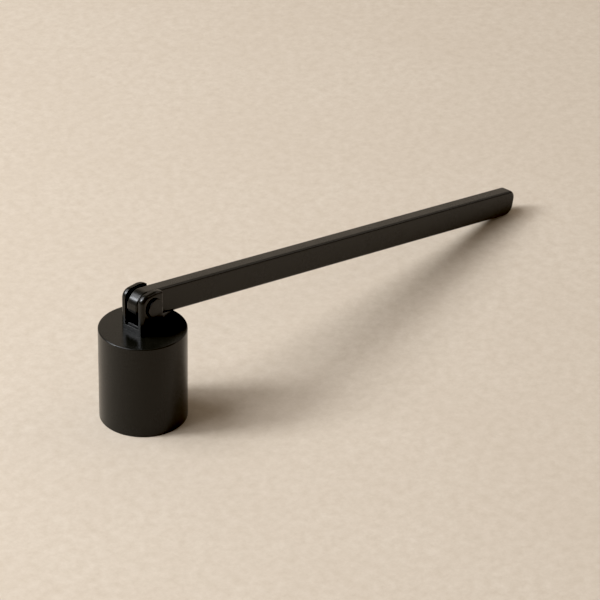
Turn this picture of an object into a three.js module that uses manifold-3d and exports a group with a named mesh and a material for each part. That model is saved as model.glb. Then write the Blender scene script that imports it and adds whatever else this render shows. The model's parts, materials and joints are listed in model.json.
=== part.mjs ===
// Bell candle snuffer: a steel cup that stands mouth down, a clevis screwed to its closed top, and a
// flat bar handle that swings in the clevis on a binding post.
// Millimetres, +Z up. The origin is on the table, under the middle of the snuffer's bounding box.
// The handle points along +X and its far end rests on the table.

import * as THREE from "three";
import { mergeVertices } from "three/addons/utils/BufferGeometryUtils.js";
import Module from "manifold-3d";

const wasm = await Module();
wasm.setup();

// Cup
const CUP_RADIUS = 15.1;
const CUP_HEIGHT = 34.5;
const CUP_WALL = 1.2;
const CUP_TOP = 1.6;
const CUP_TOP_EDGE = 0.45;
const CUP_RIM_EDGE = 0.25;
const CUP_INNER_CORNER = 1;
const CUP_SEGMENTS = 72;

// Clevis. Its top falls away toward the handle in a wide curve, and the pivot is a little nearer that end.
const CLEVIS_LENGTH = 10.4;
const CLEVIS_WIDTH = 10.2;
const CLEVIS_HEIGHT = 14.7;
const CLEVIS_WEB = 2;
const CLEVIS_TOP_RADIUS = 6.6;
const CLEVIS_TOP_OFF_CENTRE = 1.2;
const CLEVIS_AFT_CORNER = 3.2;
const CLEVIS_EDGE = 1.1;
const EAR_THICKNESS = 2.15;
const SLOT_WIDTH = CLEVIS_WIDTH - 2 * EAR_THICKNESS;
const PIVOT_ABOVE_CUP = 9.25;
const PIVOT_OFF_CENTRE = 0.4;

// Clevis screw, its washer, and the tapped plate in the clevis's slot that it pulls against
const SCREW_RADIUS = 1.5;
const SCREW_HOLE_RADIUS = 1.6;
const SCREW_HEAD_RADIUS = 2.8;
const SCREW_HEAD_HEIGHT = 2;
const SCREW_END_ABOVE_PLATE = 0.3;
const SCREW_SOCKET_ACROSS_FLATS = 2;
const SCREW_SOCKET_DEPTH = 1.2;
const TAPPED_HOLE_RADIUS = 1.55;
const WASHER_RADIUS = 3.5;
const WASHER_THICKNESS = 0.5;
const PLATE_THICKNESS = 0.9;
const PLATE_SET_BACK = 0.6;
const PLATE_SIDE_GAP = 0.2;

// Binding post, its screw, and the two friction washers beside the handle
const HEAD_RADIUS = 3.35;
const HEAD_HEIGHT = 0.9;
const HEAD_EDGE = 0.2;
const POST_RADIUS = 2;
const POST_BORE_RADIUS = 1.3;
const POST_BORE_DEPTH = 6.6;
const POST_END_GAP = 0.25;
const POST_SCREW_RADIUS = 1.25;
const POST_SCREW_LENGTH = 6;
const SLOT_CUT_WIDTH = 0.8;
const SLOT_CUT_DEPTH = 0.5;
const PIVOT_CLEARANCE = 0.055;
const FRICTION_WASHER_RADIUS = 3.9;
const FRICTION_WASHER_THICKNESS = 0.3;

// Handle. Its round end is centred a little way behind the pivot.
const BAR_REACH = 201.2;
const BAR_TAIL = 0.8;
const BAR_HEIGHT = 9.9;
const BAR_WIDTH = 5.2;
const BAR_EDGE = 1;
const TIP_TOP_CORNER = 3.4;
const TIP_BOTTOM_CORNER = 3.8;

const ROUND_SEGMENTS = 48;
const OVERCUT = 1;

// The handle's slope: its pivot's height, and the far end's rounded lower corner touching the table.
const PIVOT_HEIGHT = CUP_HEIGHT + PIVOT_ABOVE_CUP;
const cornerAlong = BAR_REACH - TIP_BOTTOM_CORNER;
const cornerBelow = BAR_HEIGHT / 2 - TIP_BOTTOM_CORNER;
const cornerDistance = Math.hypot(cornerAlong, cornerBelow);
const SLOPE = Math.asin((PIVOT_HEIGHT - TIP_BOTTOM_CORNER) / cornerDistance) - Math.atan2(cornerBelow, cornerAlong);

// The cup's axis goes where it puts the bounding box's middle over the origin.
const tipReach =
  (BAR_REACH - TIP_TOP_CORNER) * Math.cos(SLOPE) +
  (BAR_HEIGHT / 2 - TIP_TOP_CORNER) * Math.sin(SLOPE) +
  TIP_TOP_CORNER;
const CUP_AXIS_X = (CUP_RADIUS - PIVOT_OFF_CENTRE - tipReach) / 2;

const blackCoat = new THREE.MeshStandardMaterial({ color: 0x1f1d1a, roughness: 0.42, metalness: 0.1 });
const blackOxide = new THREE.MeshStandardMaterial({ color: 0x191919, roughness: 0.35, metalness: 0.7 });
const blackNylon = new THREE.MeshStandardMaterial({ color: 0x131313, roughness: 0.6, metalness: 0 });

// Closed geometry to a manifold-3d solid, for the joins and cuts.
function toSolid(geometry) {
  const bare = geometry.clone();
  bare.deleteAttribute("normal");
  bare.deleteAttribute("uv");
  const merged = mergeVertices(bare, 1e-4);
  return new wasm.Manifold(
    new wasm.Mesh({
      numProp: 3,
      vertProperties: new Float32Array(merged.attributes.position.array),
      triVerts: new Uint32Array(merged.index.array),
    }),
  );
}

function toGeometry(solid) {
  const mesh = solid.getMesh();
  const geometry = new THREE.BufferGeometry();
  geometry.setAttribute("position", new THREE.BufferAttribute(mesh.vertProperties, 3));
  geometry.setIndex(new THREE.BufferAttribute(mesh.triVerts, 1));
  geometry.computeVertexNormals();
  return geometry;
}

// A solid of revolution about Z. The profile is a list of [radius, z] that runs anticlockwise.
function turned(profile, segments = ROUND_SEGMENTS) {
  const points = profile.map(([radius, z]) => new THREE.Vector2(radius, z));
  points.push(points[0].clone());
  return new THREE.LatheGeometry(points, segments).rotateX(Math.PI / 2);
}

// Points of a quarter circle about [x, y], from one angle to the other, in degrees.
function arc([x, y], radius, fromDegrees, toDegrees, steps = 4) {
  return Array.from({ length: steps + 1 }, (_, i) => {
    const angle = THREE.MathUtils.degToRad(fromDegrees + ((toDegrees - fromDegrees) * i) / steps);
    return [x + radius * Math.cos(angle), y + radius * Math.sin(angle)];
  });
}

// A round bar between two heights, as a solid of revolution about Z.
function rod(radius, bottom, top) {
  return turned([
    [0, bottom],
    [radius, bottom],
    [radius, top],
    [0, top],
  ]);
}

// A flat ring about Z, standing on z = 0.
function ring(innerRadius, outerRadius, thickness) {
  return turned([
    [innerRadius, 0],
    [outerRadius, 0],
    [outerRadius, thickness],
    [innerRadius, thickness],
  ]);
}

// A prism whose outline is in the XZ plane, centred on y = 0, with its edges rounded.
function sidePrism(outline, width, edge) {
  const shape = new THREE.Shape(outline.map(([x, z]) => new THREE.Vector2(x, z)));
  const geometry = new THREE.ExtrudeGeometry(shape, {
    depth: width - 2 * edge,
    bevelEnabled: true,
    bevelThickness: edge,
    bevelSize: edge,
    bevelOffset: -edge,
    bevelSegments: 3,
    curveSegments: 1,
  });
  return geometry.translate(0, 0, edge - width / 2).rotateX(Math.PI / 2);
}

function mesh(name, geometry, material) {
  const made = new THREE.Mesh(geometry, material);
  made.name = name;
  return made;
}

// Turns a piece made about Z so that its top faces +Y (side 1) or -Y (side -1).
function acrossPivot(piece, side, y) {
  piece.rotation.x = (-side * Math.PI) / 2;
  piece.position.set(0, y, 0);
  return piece;
}

// The cup: one wall, closed at the top but for the screw's hole.
function bellCup() {
  const inner = CUP_RADIUS - CUP_WALL;
  const ceiling = CUP_HEIGHT - CUP_TOP;
  const profile = [
    [inner + CUP_RIM_EDGE, 0],
    [CUP_RADIUS - CUP_RIM_EDGE, 0],
    [CUP_RADIUS, CUP_RIM_EDGE],
    ...arc([CUP_RADIUS - CUP_TOP_EDGE, CUP_HEIGHT - CUP_TOP_EDGE], CUP_TOP_EDGE, 0, 90),
    [SCREW_HOLE_RADIUS, CUP_HEIGHT],
    [SCREW_HOLE_RADIUS, ceiling],
    ...arc([inner - CUP_INNER_CORNER, ceiling - CUP_INNER_CORNER], CUP_INNER_CORNER, 90, 0),
    [inner, CUP_RIM_EDGE],
  ];
  return mesh("bell_cup", turned(profile, CUP_SEGMENTS), blackCoat);
}

// The clevis's ears, seen from the side. The foot is left long.
function earOutline() {
  const half = CLEVIS_LENGTH / 2;
  const topCentre = [CLEVIS_TOP_OFF_CENTRE, CLEVIS_HEIGHT - CLEVIS_TOP_RADIUS];
  const foreAngle = THREE.MathUtils.radToDeg(Math.acos((half - CLEVIS_TOP_OFF_CENTRE) / CLEVIS_TOP_RADIUS));
  const aftCentre = [CLEVIS_AFT_CORNER - half, CLEVIS_HEIGHT - CLEVIS_AFT_CORNER];
  return [
    [-half, -2 * CLEVIS_EDGE],
    [half, -2 * CLEVIS_EDGE],
    ...arc(topCentre, CLEVIS_TOP_RADIUS, foreAngle, 90, 6),
    ...arc(aftCentre, CLEVIS_AFT_CORNER, 90, 180, 6),
  ];
}

// The clevis: a block with a flat foot and rounded outer edges. The handle's slot, the post's cross hole
// and the screw's hole are cut from it.
function clevis() {
  const block = toSolid(sidePrism(earOutline(), CLEVIS_WIDTH, CLEVIS_EDGE)).trimByPlane([0, 0, 1], 0);
  const slotHeight = CLEVIS_HEIGHT - CLEVIS_WEB + OVERCUT;
  const slot = new THREE.BoxGeometry(CLEVIS_LENGTH + 2 * OVERCUT, SLOT_WIDTH, slotHeight);
  slot.translate(0, 0, CLEVIS_WEB + slotHeight / 2);
  const crossHole = rod(POST_RADIUS + PIVOT_CLEARANCE, -CLEVIS_WIDTH, CLEVIS_WIDTH);
  crossHole.rotateX(Math.PI / 2).translate(PIVOT_OFF_CENTRE, 0, PIVOT_ABOVE_CUP);
  const screwHole = rod(SCREW_HOLE_RADIUS, -OVERCUT, CLEVIS_WEB + OVERCUT);
  const cut = block.subtract(toSolid(slot)).subtract(toSolid(crossHole)).subtract(toSolid(screwHole));
  return mesh("clevis", toGeometry(cut), blackCoat);
}

// The plate that lies on the slot's floor and takes the screw's thread.
function nutPlate() {
  const length = CLEVIS_LENGTH - 2 * PLATE_SET_BACK;
  const width = SLOT_WIDTH - 2 * PLATE_SIDE_GAP;
  const plate = new THREE.BoxGeometry(length, width, PLATE_THICKNESS);
  plate.translate(0, 0, PLATE_THICKNESS / 2);
  const hole = rod(TAPPED_HOLE_RADIUS, -OVERCUT, PLATE_THICKNESS + OVERCUT);
  return mesh("nut_plate", toGeometry(toSolid(plate).subtract(toSolid(hole))), blackOxide);
}

// The screw from inside the cup: its head is below z = 0 and its shank runs up to the plate.
function clevisScrew() {
  const shankLength = WASHER_THICKNESS + CUP_TOP + CLEVIS_WEB + PLATE_THICKNESS + SCREW_END_ABOVE_PLATE;
  const profile = [
    [0, -SCREW_HEAD_HEIGHT],
    ...arc([SCREW_HEAD_RADIUS - 0.7, 0.7 - SCREW_HEAD_HEIGHT], 0.7, 270, 360),
    [SCREW_HEAD_RADIUS, 0],
    [SCREW_RADIUS, 0],
    [SCREW_RADIUS, shankLength - 0.3],
    [SCREW_RADIUS - 0.3, shankLength],
    [0, shankLength],
  ];
  const socketRadius = SCREW_SOCKET_ACROSS_FLATS / Math.sqrt(3);
  const socket = new THREE.CylinderGeometry(socketRadius, socketRadius, SCREW_SOCKET_DEPTH + OVERCUT, 6);
  socket.rotateX(Math.PI / 2);
  socket.translate(0, 0, (SCREW_SOCKET_DEPTH - OVERCUT) / 2 - SCREW_HEAD_HEIGHT);
  const screw = toSolid(turned(profile)).subtract(toSolid(socket));
  return mesh("clevis_screw", toGeometry(screw), blackOxide);
}

// A low round head with a small chamfer, standing on z = 0.
function headProfile() {
  return [
    [HEAD_RADIUS, 0],
    [HEAD_RADIUS, HEAD_HEIGHT - HEAD_EDGE],
    [HEAD_RADIUS - HEAD_EDGE, HEAD_HEIGHT],
    [0, HEAD_HEIGHT],
  ];
}

// The binding post: a plain head, and below it a barrel through both ears, bored for the screw.
function pivotPost() {
  const end = POST_END_GAP - CLEVIS_WIDTH;
  const profile = [
    [0, end + POST_BORE_DEPTH],
    [POST_BORE_RADIUS, end + POST_BORE_DEPTH],
    [POST_BORE_RADIUS, end],
    [POST_RADIUS, end],
    [POST_RADIUS, 0],
    ...headProfile(),
  ];
  return mesh("pivot_post", turned(profile), blackCoat);
}

// The screw in the other end of the post, with a slot for a screwdriver.
function pivotScrew() {
  const profile = [
    [0, -POST_SCREW_LENGTH],
    [POST_SCREW_RADIUS, -POST_SCREW_LENGTH],
    [POST_SCREW_RADIUS, 0],
    ...headProfile(),
  ];
  const slot = new THREE.BoxGeometry(2 * HEAD_RADIUS + OVERCUT, SLOT_CUT_WIDTH, SLOT_CUT_DEPTH + OVERCUT);
  slot.translate(0, 0, HEAD_HEIGHT + (OVERCUT - SLOT_CUT_DEPTH) / 2);
  return mesh("pivot_screw", toGeometry(toSolid(turned(profile)).subtract(toSolid(slot))), blackCoat);
}

function frictionWasher(name) {
  const innerRadius = POST_RADIUS + PIVOT_CLEARANCE;
  return mesh(name, ring(innerRadius, FRICTION_WASHER_RADIUS, FRICTION_WASHER_THICKNESS), blackNylon);
}

// The handle, level, with its pivot on the origin: a round end, a straight bar and a blunt far end.
function handleBar() {
  const half = BAR_HEIGHT / 2;
  const outline = [
    ...arc([BAR_REACH - TIP_BOTTOM_CORNER, TIP_BOTTOM_CORNER - half], TIP_BOTTOM_CORNER, 270, 360, 8),
    ...arc([BAR_REACH - TIP_TOP_CORNER, half - TIP_TOP_CORNER], TIP_TOP_CORNER, 0, 90, 6),
    ...arc([-BAR_TAIL, 0], half, 90, 270, 24),
  ];
  const bar = toSolid(sidePrism(outline, BAR_WIDTH, BAR_EDGE));
  const hole = rod(POST_RADIUS + PIVOT_CLEARANCE, -BAR_WIDTH, BAR_WIDTH).rotateX(Math.PI / 2);
  return mesh("handle_bar", toGeometry(bar.subtract(toSolid(hole))), blackCoat);
}

// On top of the cup: the clevis and the plate in its slot. Below the cup's ceiling: screw and washer.
function bellAssembly() {
  const group = new THREE.Group();
  const cupTop = new THREE.Group();
  cupTop.position.z = CUP_HEIGHT;
  const plate = nutPlate();
  plate.position.z = CLEVIS_WEB;
  cupTop.add(clevis(), plate);
  const washer = mesh("clevis_washer", ring(SCREW_HOLE_RADIUS, WASHER_RADIUS, WASHER_THICKNESS), blackOxide);
  washer.position.z = CUP_HEIGHT - CUP_TOP - WASHER_THICKNESS;
  const screw = clevisScrew();
  screw.position.copy(washer.position);
  group.add(bellCup(), cupTop, washer, screw);
  return group;
}

// On the pivot's axis: the post and its screw through the ears, a washer on each side, and the handle.
function pivotAssembly() {
  const group = new THREE.Group();
  group.position.set(PIVOT_OFF_CENTRE, 0, PIVOT_HEIGHT);
  const earFace = CLEVIS_WIDTH / 2;
  const washerGap = (SLOT_WIDTH - BAR_WIDTH) / 2 - FRICTION_WASHER_THICKNESS;
  const washerFoot = BAR_WIDTH / 2 + washerGap / 2;
  const handle = new THREE.Group();
  handle.rotation.y = SLOPE;
  handle.add(handleBar());
  group.add(
    acrossPivot(pivotPost(), -1, -earFace),
    acrossPivot(pivotScrew(), 1, earFace),
    acrossPivot(frictionWasher("near_friction_washer"), -1, -washerFoot),
    acrossPivot(frictionWasher("far_friction_washer"), 1, washerFoot),
    handle,
  );
  return group;
}

const snuffer = new THREE.Group();
snuffer.position.x = CUP_AXIS_X;
snuffer.add(bellAssembly(), pivotAssembly());

export default snuffer;
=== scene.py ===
import json
import math

import bmesh
import bpy
from mathutils import Matrix, Vector


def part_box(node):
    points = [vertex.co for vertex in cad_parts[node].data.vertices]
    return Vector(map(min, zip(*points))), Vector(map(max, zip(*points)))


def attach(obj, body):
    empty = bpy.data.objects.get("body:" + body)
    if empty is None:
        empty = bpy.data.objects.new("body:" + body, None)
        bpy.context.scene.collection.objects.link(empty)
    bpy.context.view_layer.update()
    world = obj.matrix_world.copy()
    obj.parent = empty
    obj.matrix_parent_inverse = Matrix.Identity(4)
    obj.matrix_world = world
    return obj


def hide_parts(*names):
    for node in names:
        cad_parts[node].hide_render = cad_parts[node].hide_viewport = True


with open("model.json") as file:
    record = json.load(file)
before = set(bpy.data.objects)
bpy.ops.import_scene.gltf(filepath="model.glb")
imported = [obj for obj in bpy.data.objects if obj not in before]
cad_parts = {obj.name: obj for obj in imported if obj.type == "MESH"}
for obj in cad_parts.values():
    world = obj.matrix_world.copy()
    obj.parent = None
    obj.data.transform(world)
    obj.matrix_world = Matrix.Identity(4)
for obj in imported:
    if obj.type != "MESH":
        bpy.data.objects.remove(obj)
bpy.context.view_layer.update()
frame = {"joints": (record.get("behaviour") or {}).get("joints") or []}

# The looks of a bell candle snuffer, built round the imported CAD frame: metres, +Z up, the cup at -X
# and the handle's far end resting on the table at +X.

MM = 0.001

# Places from the frame
PIVOT = Vector(frame["joints"][0]["pos_m"])
CUP_LOW, CUP_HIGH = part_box("bell_cup")
CLEVIS_LOW, CLEVIS_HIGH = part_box("clevis")
PLATE_LOW, PLATE_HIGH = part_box("nut_plate")
CUP_AXIS = Vector(((CUP_LOW.x + CUP_HIGH.x) / 2, 0, 0))

# Cup
CUP_RADIUS = (CUP_HIGH.y - CUP_LOW.y) / 2
CUP_HEIGHT = CUP_HIGH.z
CUP_WALL = 1.2 * MM
CUP_TOP = 1.6 * MM
CUP_TOP_EDGE = 0.45 * MM
CUP_RIM_EDGE = 0.3 * MM
CUP_INNER_CORNER = 1 * MM

# Clevis and the plate in its slot
CLEVIS_WIDTH = CLEVIS_HIGH.y - CLEVIS_LOW.y
CLEVIS_WEB = PLATE_LOW.z - CLEVIS_LOW.z
CLEVIS_TOP_RADIUS = 6.6 * MM
CLEVIS_TOP_OFF_CENTRE = 1.2 * MM
CLEVIS_AFT_CORNER = 3.2 * MM
CLEVIS_OUTER_EDGE = 1.4 * MM
CLEVIS_INNER_EDGE = 0.12 * MM
EAR_THICKNESS = 2.15 * MM
PLATE_EDGE = 0.15 * MM

# Screws, washers and the binding post
SCREW_RADIUS = 1.5 * MM
SCREW_HOLE_RADIUS = 1.6 * MM
SCREW_PITCH = 0.5 * MM
SCREW_THREAD_DEPTH = 0.25 * MM
SCREW_HEAD_CORNER = 0.8 * MM
SCREW_END_CHAMFER = 0.3 * MM
SCREW_SOCKET_ACROSS_FLATS = 2 * MM
SCREW_SOCKET_DEPTH = 1.2 * MM
TAPPED_HOLE_RADIUS = 1.55 * MM
HEAD_RADIUS = 3.35 * MM
HEAD_HEIGHT = 0.9 * MM
HEAD_EDGE = 0.25 * MM
HEAD_DOME = 0.06 * MM
POST_RADIUS = 2 * MM
POST_BORE_RADIUS = 1.3 * MM
POST_BORE_DEPTH = 6.6 * MM
POST_SCREW_RADIUS = 1.25 * MM
POST_SCREW_PITCH = 0.45 * MM
POST_SCREW_THREAD_DEPTH = 0.2 * MM
POST_SCREW_CHAMFER = 0.25 * MM
SLOT_CUT_WIDTH = 0.8 * MM
SLOT_CUT_DEPTH = 0.5 * MM
PIVOT_CLEARANCE = 0.055 * MM
WASHER_EDGE = 0.12 * MM

# Handle
BAR_REACH = 201.2 * MM
BAR_TAIL = 0.8 * MM
BAR_HEIGHT = 9.9 * MM
BAR_WIDTH = 5.2 * MM
BAR_EDGE = 1 * MM
TIP_TOP_CORNER = 3.4 * MM
TIP_BOTTOM_CORNER = 3.8 * MM

ROUND_SEGMENTS = 96
CUP_SEGMENTS = 256
SCREW_SEGMENTS = 48
THREAD_STEPS_PER_TURN = 8
DOME_STEPS = 8
OVERCUT = 1 * MM
ON_AXIS = 1e-7
BEVEL_WEIGHT = "bevel_weight_edge"  # the edge attribute that the bevel modifier reads


# ---- outlines ----

def arc(centre, radius, start, end, steps=12):
    """Points of a circle about centre, from one angle to another, in degrees."""
    angles = [math.radians(start + (end - start) * i / steps) for i in range(steps + 1)]
    return [(centre[0] + radius * math.cos(a), centre[1] + radius * math.sin(a)) for a in angles]


def rounded(corners, steps=8):
    """A closed outline from (x, y, radius) corners, with each corner turned into an arc of its radius."""
    points = []
    count = len(corners)
    for i, (x, y, radius) in enumerate(corners):
        here = Vector((x, y))
        if radius == 0:
            points.append((x, y))
            continue
        before = (Vector(corners[i - 1][:2]) - here).normalized()
        after = (Vector(corners[(i + 1) % count][:2]) - here).normalized()
        half = before.angle(after) / 2
        centre = here + (before + after).normalized() * radius / math.sin(half)
        start = here + before * radius / math.tan(half) - centre
        end = here + after * radius / math.tan(half) - centre
        turn = start.angle_signed(end)
        for k in range(steps + 1):
            points.append(tuple(centre + Matrix.Rotation(-turn * k / steps, 2) @ start))
    return points


# ---- meshes ----

def new_object(name, bm):
    bmesh.ops.recalc_face_normals(bm, faces=bm.faces)
    data = bpy.data.meshes.new(name)
    bm.to_mesh(data)
    bm.free()
    piece = bpy.data.objects.new(name, data)
    bpy.context.scene.collection.objects.link(piece)
    return piece


def turned(name, outline, segments=ROUND_SEGMENTS, thread=None):
    """A closed solid of revolution about Z. thread is (radius, pitch, depth) for rings of that radius."""
    bm = bmesh.new()
    rings = []
    for radius, z in outline:
        if radius < ON_AXIS:
            rings.append([bm.verts.new((0, 0, z))])
            continue
        ring = []
        for k in range(segments):
            turn = k / segments
            r = radius
            if thread and abs(radius - thread[0]) < ON_AXIS:
                r -= thread[2] * abs(2 * ((z / thread[1] - turn) % 1) - 1)
            ring.append(bm.verts.new((r * math.cos(math.tau * turn), r * math.sin(math.tau * turn), z)))
        rings.append(ring)
    for lower, upper in zip(rings, rings[1:] + rings[:1]):
        for k in range(segments):
            corners = [lower[k % len(lower)], lower[(k + 1) % len(lower)]]
            corners += [upper[(k + 1) % len(upper)], upper[k % len(upper)]]
            corners = list(dict.fromkeys(corners))
            if len(corners) > 2:
                bm.faces.new(corners)
    return new_object(name, bm)


def prism(name, outline, low, high, axes="xzy"):
    """A closed prism: the outline lies along the first two axes, and runs from low to high on the third."""
    order = ["xyz".index(a) for a in axes]

    def place(point, depth):
        spot = [0, 0, 0]
        spot[order[0]], spot[order[1]], spot[order[2]] = point[0], point[1], depth
        return spot

    bm = bmesh.new()
    near = [bm.verts.new(place(p, low)) for p in outline]
    far = [bm.verts.new(place(p, high)) for p in outline]
    bm.faces.new(near)
    bm.faces.new(far[::-1])
    count = len(outline)
    for k in range(count):
        bm.faces.new((near[k], near[(k + 1) % count], far[(k + 1) % count], far[k]))
    return new_object(name, bm)


def freeze(piece):
    """Applies the piece's modifiers to its mesh."""
    bpy.context.view_layer.update()
    graph = bpy.context.evaluated_depsgraph_get()
    solved = piece.evaluated_get(graph)
    final = bpy.data.meshes.new_from_object(solved, preserve_all_data_layers=True, depsgraph=graph)
    piece.modifiers.clear()
    piece.data = final
    return piece


def combine(piece, tool, operation="DIFFERENCE"):
    """Cuts the piece with the tool, or keeps what they share, and throws the tool away."""
    modifier = piece.modifiers.new("combine", "BOOLEAN")
    modifier.operation = operation
    modifier.solver = "EXACT"
    modifier.object = tool
    freeze(piece)
    bpy.data.objects.remove(tool)
    return piece


def soften(piece, width, segments=4, sharper_than=35, chosen=lambda edge: True):
    """Rounds the piece's outward edges, or the chosen ones among them."""
    bm = bmesh.new()
    bm.from_mesh(piece.data)
    layers = bm.edges.layers.float
    weight = layers.get(BEVEL_WEIGHT) or layers.new(BEVEL_WEIGHT)
    limit = math.radians(sharper_than)
    for edge in bm.edges:
        outward = len(edge.link_faces) == 2 and edge.calc_face_angle_signed() > limit
        edge[weight] = float(outward and chosen(edge))
    bm.to_mesh(piece.data)
    bm.free()
    modifier = piece.modifiers.new("soften", "BEVEL")
    modifier.limit_method = "WEIGHT"
    modifier.width = width
    modifier.segments = segments
    modifier.use_clamp_overlap = True
    return freeze(piece)


def finish_surface(piece, sharper_than=40):
    """Smooth shading that keeps wide faces flat and creases sharp."""
    limit = math.radians(sharper_than)
    bm = bmesh.new()
    bm.from_mesh(piece.data)
    for face in bm.faces:
        face.smooth = True
    for edge in bm.edges:
        edge.smooth = len(edge.link_faces) == 2 and edge.calc_face_angle() < limit
    bm.to_mesh(piece.data)
    bm.free()
    modifier = piece.modifiers.new("flat_faces", "WEIGHTED_NORMAL")
    modifier.keep_sharp = True
    return freeze(piece)


def settle(piece, body, node, material, place=None):
    """Puts a finished piece in the frame: its place, its body, the node it stands for and its finish."""
    if place:
        piece.data.transform(place)
    finish_surface(piece)
    piece.data.materials.clear()
    piece.data.materials.append(material)
    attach(piece, body)
    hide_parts(node)
    return piece


def across_pivot(side, y):
    """The place of a piece made about Z: on the pivot's axis at y, its top facing +Y (1) or -Y (-1)."""
    return Matrix.Translation((PIVOT.x, y, PIVOT.z)) @ Matrix.Rotation(-side * math.pi / 2, 4, "X")


# ---- materials ----

NOISE_SPREAD = (0.3, 0.7)  # nearly all values of a noise lie between these
MIX_COLOURS = slice(6, 8)  # the colour sockets of a mix node, which share their names with others
MIX_RESULT = 2
EDGE_SAMPLES = 6
EDGE_TURN = (1.0, 0.9)  # cosines between the true and the softened normal: none, and a full edge
# The lighter edge colour of the coats is a painted highlight; these set its width, its patchy strength and
# the roughness it adds.
COAT_EDGE_WIDTH = 0.35 * MM
COAT_EDGE_PATCHES = (0.2, 1.0)
COAT_GLOSS_DRIFT = 0.03
COAT_SPECKLE = 0.02
COAT_EDGE_DULLING = 0.06
COAT_SPECULAR = 0.33
COAT_SPECKLE_HEIGHT = 0.15  # as a part of the orange peel's height


class Nodes:
    """A small helper that adds nodes to a material and links them."""

    def __init__(self, slot):
        self.material = bpy.data.materials.new(slot + "_look")
        self.material["slot"] = slot
        self.material.use_nodes = True
        self.tree = self.material.node_tree
        self.shader = self.tree.nodes["Principled BSDF"]
        self.coordinates = self.tree.nodes.new("ShaderNodeTexCoord").outputs["Object"]

    def add(self, kind, values, **links):
        node = self.tree.nodes.new(kind)
        for key, value in values.items():
            node.inputs[key].default_value = value
        for key, source in links.items():
            self.link(source, node.inputs[key])
        return node

    def link(self, source, socket):
        self.tree.links.new(source, socket)

    def feed(self, name, source):
        """Gives one of the shader's inputs a value that varies over the surface."""
        self.link(source, self.shader.inputs[name])

    def fix(self, name, value):
        """Gives one of the shader's inputs the same value everywhere."""
        self.shader.inputs[name].default_value = value

    def noise(self, scale, detail=2.0, roughness=0.5):
        values = {"Scale": scale, "Detail": detail, "Roughness": roughness}
        return self.add("ShaderNodeTexNoise", values, Vector=self.coordinates).outputs["Fac"]

    def remap(self, value, spread, result):
        """Stretches one range of values to another, and clips what is outside it."""
        values = {"From Min": spread[0], "From Max": spread[1], "To Min": result[0], "To Max": result[1]}
        return self.add("ShaderNodeMapRange", values, Value=value).outputs["Result"]

    def math(self, operation, first, second):
        node = self.tree.nodes.new("ShaderNodeMath")
        node.operation = operation
        for socket, value in zip(node.inputs, (first, second)):
            if isinstance(value, float):
                socket.default_value = value
            else:
                self.link(value, socket)
        return node.outputs["Value"]

    def blend(self, factor, first, second):
        node = self.tree.nodes.new("ShaderNodeMix")
        node.data_type = "RGBA"
        self.link(factor, node.inputs["Factor"])
        for socket, value in zip(node.inputs[MIX_COLOURS], (first, second)):
            if isinstance(value, tuple):
                socket.default_value = (*value, 1)
            else:
                self.link(value, socket)
        return node.outputs[MIX_RESULT]

    def bump(self, height, distance, normal=None):
        node = self.add("ShaderNodeBump", {"Distance": distance, "Strength": 1.0}, Height=height)
        if normal:
            self.link(normal, node.inputs["Normal"])
        return node.outputs["Normal"]

    def edges(self, radius):
        """1 on rounded edges and 0 on flat faces."""
        soft = self.tree.nodes.new("ShaderNodeBevel")
        soft.samples = EDGE_SAMPLES
        soft.inputs["Radius"].default_value = radius
        true = self.tree.nodes.new("ShaderNodeNewGeometry")
        product = self.tree.nodes.new("ShaderNodeVectorMath")
        product.operation = "DOT_PRODUCT"
        self.link(soft.outputs["Normal"], product.inputs[0])
        self.link(true.outputs["Normal"], product.inputs[1])
        return self.remap(product.outputs["Value"], EDGE_TURN, (0.0, 1.0))


def coated_black(slot, base, painted_edge_highlight, roughness, peel):
    """Satin black coat: orange peel, slow changes of gloss, and a painted highlight: a lighter colour in
    patches along rounded edges, which are also made rougher.
    """
    m = Nodes(slot)
    broad = m.noise(scale=120)
    fine = m.noise(scale=1500, detail=3.0)
    speckle = m.noise(scale=6000, detail=1.0)
    patches = m.remap(m.noise(scale=700, detail=3.0), (0.35, 0.65), COAT_EDGE_PATCHES)
    edge = m.math("MULTIPLY", m.edges(COAT_EDGE_WIDTH), patches)
    # painted highlight: the rounded edges take the lighter second colour, in patches
    m.feed("Base Color", m.blend(edge, base, painted_edge_highlight))
    drift = m.remap(broad, NOISE_SPREAD, (roughness - COAT_GLOSS_DRIFT, roughness + COAT_GLOSS_DRIFT))
    rough = m.math("ADD", drift, m.remap(speckle, NOISE_SPREAD, (-COAT_SPECKLE, COAT_SPECKLE)))
    m.feed("Roughness", m.math("ADD", rough, m.math("MULTIPLY", edge, COAT_EDGE_DULLING)))
    surface = m.bump(fine, peel)
    m.feed("Normal", m.bump(speckle, peel * COAT_SPECKLE_HEIGHT, surface))
    m.fix("Specular IOR Level", COAT_SPECULAR)
    return m.material


def plain_steel():
    """Bright plated steel with a fine grain and some dulling."""
    m = Nodes("plain_steel")
    dull = m.noise(scale=900, detail=4.0, roughness=0.6)
    m.feed("Base Color", m.blend(dull, (0.42, 0.41, 0.39), (0.62, 0.61, 0.58)))
    m.feed("Roughness", m.remap(dull, NOISE_SPREAD, (0.24, 0.38)))
    m.feed("Normal", m.bump(m.noise(scale=5000, detail=3.0), 0.004 * MM))
    m.fix("Metallic", 1)
    return m.material


def black_nylon():
    """Matt moulded nylon."""
    m = Nodes("black_nylon")
    grain = m.noise(scale=3500, detail=3.0)
    m.feed("Base Color", m.blend(grain, (0.008, 0.008, 0.008), (0.014, 0.014, 0.014)))
    m.feed("Roughness", m.remap(grain, NOISE_SPREAD, (0.5, 0.62)))
    m.feed("Normal", m.bump(grain, 0.01 * MM))
    return m.material


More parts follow.
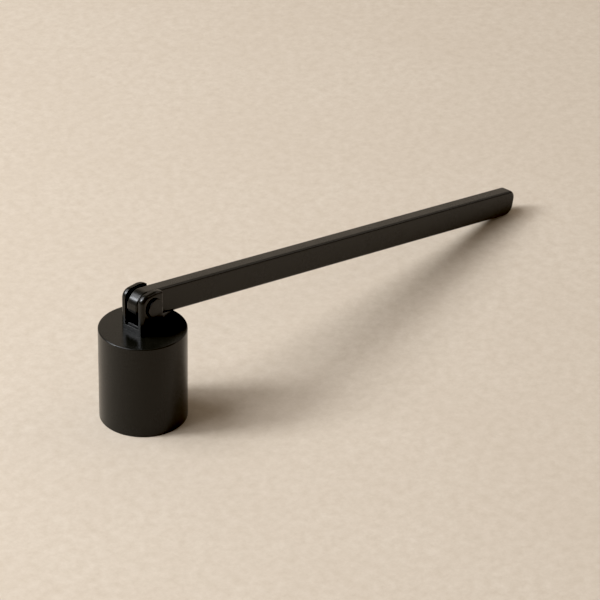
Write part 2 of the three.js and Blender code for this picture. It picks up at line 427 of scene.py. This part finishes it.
def table_top():
    """Pale warm plaster: slow clouds, a fine mottle and a faint grain."""
    m = Nodes("table_top")
    clouds = m.remap(m.noise(scale=14, detail=5.0, roughness=0.6), (0.35, 0.65), (0.0, 1.0))
    mottle = m.remap(m.noise(scale=260, detail=6.0, roughness=0.75), NOISE_SPREAD, (0.0, 1.0))
    grain = m.noise(scale=700, detail=3.0, roughness=0.6)
    tone = m.blend(clouds, (0.745, 0.655, 0.54), (0.775, 0.69, 0.575))
    m.feed("Base Color", m.blend(mottle, tone, (0.655, 0.565, 0.45)))
    m.feed("Normal", m.bump(grain, 0.02 * MM))
    m.fix("Roughness", 0.75)
    m.fix("Specular IOR Level", 0.2)
    return m.material


# ---- pieces ----

def bell_cup(material):
    inner = CUP_RADIUS - CUP_WALL
    ceiling = CUP_HEIGHT - CUP_TOP
    corners = [
        (inner, 0, CUP_RIM_EDGE),
        (CUP_RADIUS, 0, CUP_RIM_EDGE),
        (CUP_RADIUS, CUP_HEIGHT, CUP_TOP_EDGE),
        (SCREW_HOLE_RADIUS, CUP_HEIGHT, 0),
        (SCREW_HOLE_RADIUS, ceiling, 0),
        (inner, ceiling, CUP_INNER_CORNER),
    ]
    cup = turned("bell_cup_coated", rounded(corners), CUP_SEGMENTS)
    settle(cup, "bell", "bell_cup", material, Matrix.Translation(CUP_AXIS))


def ear_outline():
    """The clevis seen from the side: round at the back, falling away in a wide curve toward the handle."""
    aft, fore, top = CLEVIS_LOW.x, CLEVIS_HIGH.x, CLEVIS_HIGH.z
    curve, corner = CLEVIS_TOP_RADIUS, CLEVIS_AFT_CORNER
    foot = CLEVIS_LOW.z - 2 * CLEVIS_OUTER_EDGE
    middle = (aft + fore) / 2 + CLEVIS_TOP_OFF_CENTRE
    fore_angle = math.degrees(math.acos((fore - middle) / curve))
    return [
        (aft, foot),
        (fore, foot),
        *arc((middle, top - curve), curve, fore_angle, 90, 6),
        *arc((aft + corner, top - corner), corner, 90, 180),
    ]


def slot_outline():
    """A U seen from the end, wider and taller than the clevis, with its slot and foot at their places."""
    outer = CLEVIS_WIDTH
    inner = CLEVIS_WIDTH / 2 - EAR_THICKNESS
    top, floor = CLEVIS_HIGH.z + OVERCUT, CLEVIS_LOW.z + CLEVIS_WEB
    return [
        (-outer, CLEVIS_LOW.z),
        (outer, CLEVIS_LOW.z),
        (outer, top),
        (inner, top),
        (inner, floor),
        (-inner, floor),
        (-inner, top),
        (-outer, top),
    ]


def clevis(material):
    inner = CLEVIS_WIDTH / 2 - EAR_THICKNESS

    def on_side(edge):
        return abs(edge.verts[0].co.y - edge.verts[1].co.y) < ON_AXIS

    def in_slot(edge):
        return all(abs(v.co.y) < inner + ON_AXIS for v in edge.verts)

    piece = prism("clevis_coated", ear_outline(), -CLEVIS_WIDTH / 2, CLEVIS_WIDTH / 2)
    soften(piece, CLEVIS_OUTER_EDGE, 8, chosen=on_side)
    section = prism("section", slot_outline(), CLEVIS_LOW.x - OVERCUT, CLEVIS_HIGH.x + OVERCUT, "yzx")
    combine(piece, section, "INTERSECT")
    soften(piece, CLEVIS_INNER_EDGE, 3, 60, in_slot)
    hole = arc((PIVOT.x, PIVOT.z), POST_RADIUS + PIVOT_CLEARANCE, 0, 360, ROUND_SEGMENTS)[:-1]
    cross = prism("cross", hole, -CLEVIS_WIDTH, CLEVIS_WIDTH)
    foot = CLEVIS_LOW.z
    circle = arc((CUP_AXIS.x, 0), SCREW_HOLE_RADIUS, 0, 360, ROUND_SEGMENTS)[:-1]
    screw = prism("screw", circle, foot - OVERCUT, foot + CLEVIS_WEB + OVERCUT, "xyz")
    combine(combine(piece, cross), screw)
    settle(piece, "bell", "clevis", material)


def nut_plate(material):
    low, high = PLATE_LOW, PLATE_HIGH
    outline = [(low.x, low.y), (high.x, low.y), (high.x, high.y), (low.x, high.y)]
    plate = soften(prism("nut_plate_tapped", outline, low.z, high.z, "xyz"), PLATE_EDGE)
    circle = arc((CUP_AXIS.x, 0), TAPPED_HOLE_RADIUS, 0, 360, ROUND_SEGMENTS)[:-1]
    combine(plate, prism("hole", circle, low.z - OVERCUT, high.z + OVERCUT, "xyz"))
    settle(plate, "bell", "nut_plate", material)


def threaded(radius, pitch, low, high):
    """Outline points up a threaded shank, close enough together to shape each turn."""
    steps = math.ceil((high - low) / pitch * THREAD_STEPS_PER_TURN)
    return [(radius, low + (high - low) * k / steps) for k in range(steps + 1)]


def clevis_screw(material):
    low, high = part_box("clevis_screw")
    radius = (high.y - low.y) / 2
    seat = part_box("clevis_washer")[0].z
    outline = [
        (0, low.z),
        *arc((radius - SCREW_HEAD_CORNER, low.z + SCREW_HEAD_CORNER), SCREW_HEAD_CORNER, 270, 360),
        *arc((radius - WASHER_EDGE, seat - WASHER_EDGE), WASHER_EDGE, 0, 90, 4),
        *threaded(SCREW_RADIUS, SCREW_PITCH, seat, high.z - SCREW_END_CHAMFER),
        (SCREW_RADIUS - SCREW_END_CHAMFER, high.z),
        (0, high.z),
    ]
    thread = (SCREW_RADIUS, SCREW_PITCH, SCREW_THREAD_DEPTH)
    screw = turned("clevis_screw_threaded", outline, SCREW_SEGMENTS, thread)
    across = SCREW_SOCKET_ACROSS_FLATS / math.sqrt(3)
    hexagon = arc((0, 0), across, 0, 360, 6)[:-1]
    combine(screw, prism("socket", hexagon, low.z - OVERCUT, low.z + SCREW_SOCKET_DEPTH, "xyz"))
    settle(screw, "bell", "clevis_screw", material, Matrix.Translation(CUP_AXIS))


def washer(name, node, body, material, inner, place_of):
    """A flat ring with softly rounded edges, made standing on z = 0."""
    low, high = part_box(node)
    size = sorted(high - low)
    thickness, outer = size[0], size[2] / 2
    corners = [
        (inner, 0, WASHER_EDGE),
        (outer, 0, WASHER_EDGE),
        (outer, thickness, WASHER_EDGE),
        (inner, thickness, WASHER_EDGE),
    ]
    settle(turned(name, rounded(corners, 4)), body, node, material, place_of(low, high))


def head_outline():
    """A low round head on z = 0, its upper edge rounded and its face very slightly domed."""
    shoulder = HEAD_HEIGHT - HEAD_DOME
    shares = [1 - k / DOME_STEPS for k in range(1, DOME_STEPS + 1)]
    face = [((HEAD_RADIUS - HEAD_EDGE) * share, shoulder + HEAD_DOME * (1 - share ** 2)) for share in shares]
    return [
        (HEAD_RADIUS, 0),
        *arc((HEAD_RADIUS - HEAD_EDGE, shoulder - HEAD_EDGE), HEAD_EDGE, 0, 90, 8),
        *face,
    ]


def pivot_post(material):
    head = -CLEVIS_WIDTH / 2
    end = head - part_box("pivot_post")[1].y
    outline = [
        (0, end + POST_BORE_DEPTH),
        (POST_BORE_RADIUS, end + POST_BORE_DEPTH),
        (POST_BORE_RADIUS, end),
        (POST_RADIUS, end),
        (POST_RADIUS, 0),
        *head_outline(),
    ]
    post = turned("pivot_post_headed", outline)
    settle(post, "bell", "pivot_post", material, across_pivot(-1, head))


def pivot_screw(material):
    seat = CLEVIS_WIDTH / 2
    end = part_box("pivot_screw")[0].y - seat
    outline = [
        (0, end),
        (POST_SCREW_RADIUS - POST_SCREW_CHAMFER, end),
        *threaded(POST_SCREW_RADIUS, POST_SCREW_PITCH, end + POST_SCREW_CHAMFER, 0),
        *head_outline(),
    ]
    thread = (POST_SCREW_RADIUS, POST_SCREW_PITCH, POST_SCREW_THREAD_DEPTH)
    screw = turned("pivot_screw_slotted", outline, ROUND_SEGMENTS, thread)
    half = SLOT_CUT_WIDTH / 2
    floor = HEAD_HEIGHT - SLOT_CUT_DEPTH
    reach = HEAD_RADIUS + OVERCUT
    top = HEAD_HEIGHT + OVERCUT
    section = [(-half, floor), (half, floor), (half, top), (-half, top)]
    combine(screw, prism("slot", section, -reach, reach, "yzx"))
    settle(screw, "bell", "pivot_screw", material, across_pivot(1, seat))


def bar_slope():
    """How far the handle dips: its lower corner touches the table and its pivot is at its own height."""
    along = BAR_REACH - TIP_BOTTOM_CORNER
    below = BAR_HEIGHT / 2 - TIP_BOTTOM_CORNER
    reach = math.hypot(along, below)
    return math.asin((PIVOT.z - TIP_BOTTOM_CORNER) / reach) - math.atan2(below, along)


def handle_bar(material):
    half = BAR_HEIGHT / 2
    outline = [
        *arc((BAR_REACH - TIP_BOTTOM_CORNER, TIP_BOTTOM_CORNER - half), TIP_BOTTOM_CORNER, 270, 360),
        *arc((BAR_REACH - TIP_TOP_CORNER, half - TIP_TOP_CORNER), TIP_TOP_CORNER, 0, 90),
        *arc((-BAR_TAIL, 0), half, 90, 270, 48),
    ]
    bar = soften(prism("handle_bar_coated", outline, -BAR_WIDTH / 2, BAR_WIDTH / 2), BAR_EDGE, 5)
    hole = arc((0, 0), POST_RADIUS + PIVOT_CLEARANCE, 0, 360, ROUND_SEGMENTS)[:-1]
    combine(bar, prism("hole", hole, -BAR_WIDTH, BAR_WIDTH))
    place = Matrix.Translation(PIVOT) @ Matrix.Rotation(bar_slope(), 4, "Y")
    settle(bar, "handle", "handle_bar", material, place)


# ---- stage ----

VIEW_TURN = math.radians(48.5)  # the camera looks this far round from +Y towards +X
VIEW_DROP = math.radians(30.62)
VIEW_ROLL = math.radians(1.05)
VIEW_DISTANCE = 1107 * MM
AIM_RIGHT = 53.3 * MM  # the aim, from the middle of the cup's mouth
AIM_UP = 38.6 * MM
LENS = 194.9
CLIP_NEAR = 0.01
CLIP_FAR = 100
BLACK_LEVEL = (0.0105, 0.0100, 0.0090)
FLOOR_REACH = 6
ROOM_COLOUR = (1.0, 0.82, 0.66, 1)
ROOM_STRENGTH = 0.15

RIGHT = Vector((math.cos(VIEW_TURN), -math.sin(VIEW_TURN), 0))
AWAY = Vector((math.sin(VIEW_TURN), math.cos(VIEW_TURN), 0))
UP = Vector((0, 0, 1))


def camera():
    look = AWAY * math.cos(VIEW_DROP) - UP * math.sin(VIEW_DROP)
    lift = AWAY * math.sin(VIEW_DROP) + UP * math.cos(VIEW_DROP)
    side = RIGHT * math.cos(VIEW_ROLL) + lift * math.sin(VIEW_ROLL)
    top = lift * math.cos(VIEW_ROLL) - RIGHT * math.sin(VIEW_ROLL)
    place = CUP_AXIS + side * AIM_RIGHT + top * AIM_UP - look * VIEW_DISTANCE
    data = bpy.data.cameras.new("camera")
    data.lens = LENS
    data.clip_start = CLIP_NEAR
    data.clip_end = CLIP_FAR
    made = bpy.data.objects.new("camera", data)
    bpy.context.scene.collection.objects.link(made)
    made.matrix_world = Matrix.Translation(place) @ Matrix((side, top, -look)).transposed().to_4x4()
    bpy.context.scene.camera = made


def softbox(name, bearing, elevation, distance, size, power, colour):
    """A flat lamp that faces the cup. The bearing is from the view's left and turns away from the viewer."""
    turn, lift = math.radians(bearing), math.radians(elevation)
    flat = RIGHT * -math.cos(turn) + AWAY * math.sin(turn)
    direction = flat * math.cos(lift) + UP * math.sin(lift)
    data = bpy.data.lights.new(name, "AREA")
    data.shape = "RECTANGLE"
    data.size, data.size_y = size
    data.energy = power
    data.color = colour
    lamp = bpy.data.objects.new(name, data)
    bpy.context.scene.collection.objects.link(lamp)
    lamp.location = CUP_AXIS + direction * distance
    lamp.rotation_euler = direction.to_track_quat("Z", "Y").to_euler()


def floor():
    data = bpy.data.meshes.new("floor")
    reach = FLOOR_REACH
    corners = [(-reach, -reach, 0), (reach, -reach, 0), (reach, reach, 0), (-reach, reach, 0)]
    data.from_pydata(corners, [], [(0, 1, 2, 3)])
    data.materials.append(table_top())
    piece = bpy.data.objects.new("floor", data)
    bpy.context.scene.collection.objects.link(piece)


def lamps():
    """A cool window and sky from the left, the warm room behind, and a little light back from the right."""
    softbox(
        "window", bearing=-8, elevation=37, distance=1.5,
        size=(0.34, 0.42), power=13.5, colour=(0.93, 0.955, 1.0),
    )
    softbox(
        "skylight", bearing=-6, elevation=56, distance=1.6,
        size=(1.3, 0.8), power=18.5, colour=(0.95, 0.96, 1.0),
    )
    softbox(
        "back_wall", bearing=90, elevation=24, distance=3.0,
        size=(4.5, 1.8), power=13.5, colour=(1.0, 0.86, 0.70),
    )
    softbox(
        "fill_card", bearing=158, elevation=28, distance=1.4,
        size=(0.9, 0.7), power=1.6, colour=(1.0, 0.90, 0.78),
    )


def room():
    world = bpy.data.worlds.new("room")
    world.use_nodes = True
    background = world.node_tree.nodes["Background"]
    background.inputs["Color"].default_value = ROOM_COLOUR
    background.inputs["Strength"].default_value = ROOM_STRENGTH
    bpy.context.scene.world = world


def exposure():
    settings = bpy.context.scene.view_settings
    settings.view_transform = "Standard"
    settings.use_curve_mapping = True
    settings.curve_mapping.black_level = BLACK_LEVEL


# ---- the whole ----

# The second colour of each coat is painted on rounded edges as a highlight.
coat = coated_black(
    "black_powder_coat", base=(0.0125, 0.0120, 0.0095), painted_edge_highlight=(0.028, 0.026, 0.022),
    roughness=0.25, peel=0.004 * MM,
)
hardware = coated_black(
    "black_hardware", base=(0.012, 0.0115, 0.0100), painted_edge_highlight=(0.028, 0.027, 0.024),
    roughness=0.25, peel=0.002 * MM,
)
steel = plain_steel()
nylon = black_nylon()

bell_cup(coat)
clevis(coat)
nut_plate(hardware)
clevis_screw(steel)
pivot_post(hardware)
pivot_screw(hardware)
handle_bar(coat)
washer(
    "clevis_washer_plain", "clevis_washer", "bell", steel, SCREW_HOLE_RADIUS,
    lambda low, high: Matrix.Translation((CUP_AXIS.x, 0, low.z)),
)
for side, name in ((-1, "near"), (1, "far")):
    washer(
        name + "_washer_nylon", name + "_friction_washer", "bell", nylon, POST_RADIUS + PIVOT_CLEARANCE,
        lambda low, high, side=side: across_pivot(side, low.y if side > 0 else high.y),
    )
camera()
floor()
lamps()
room()
exposure()
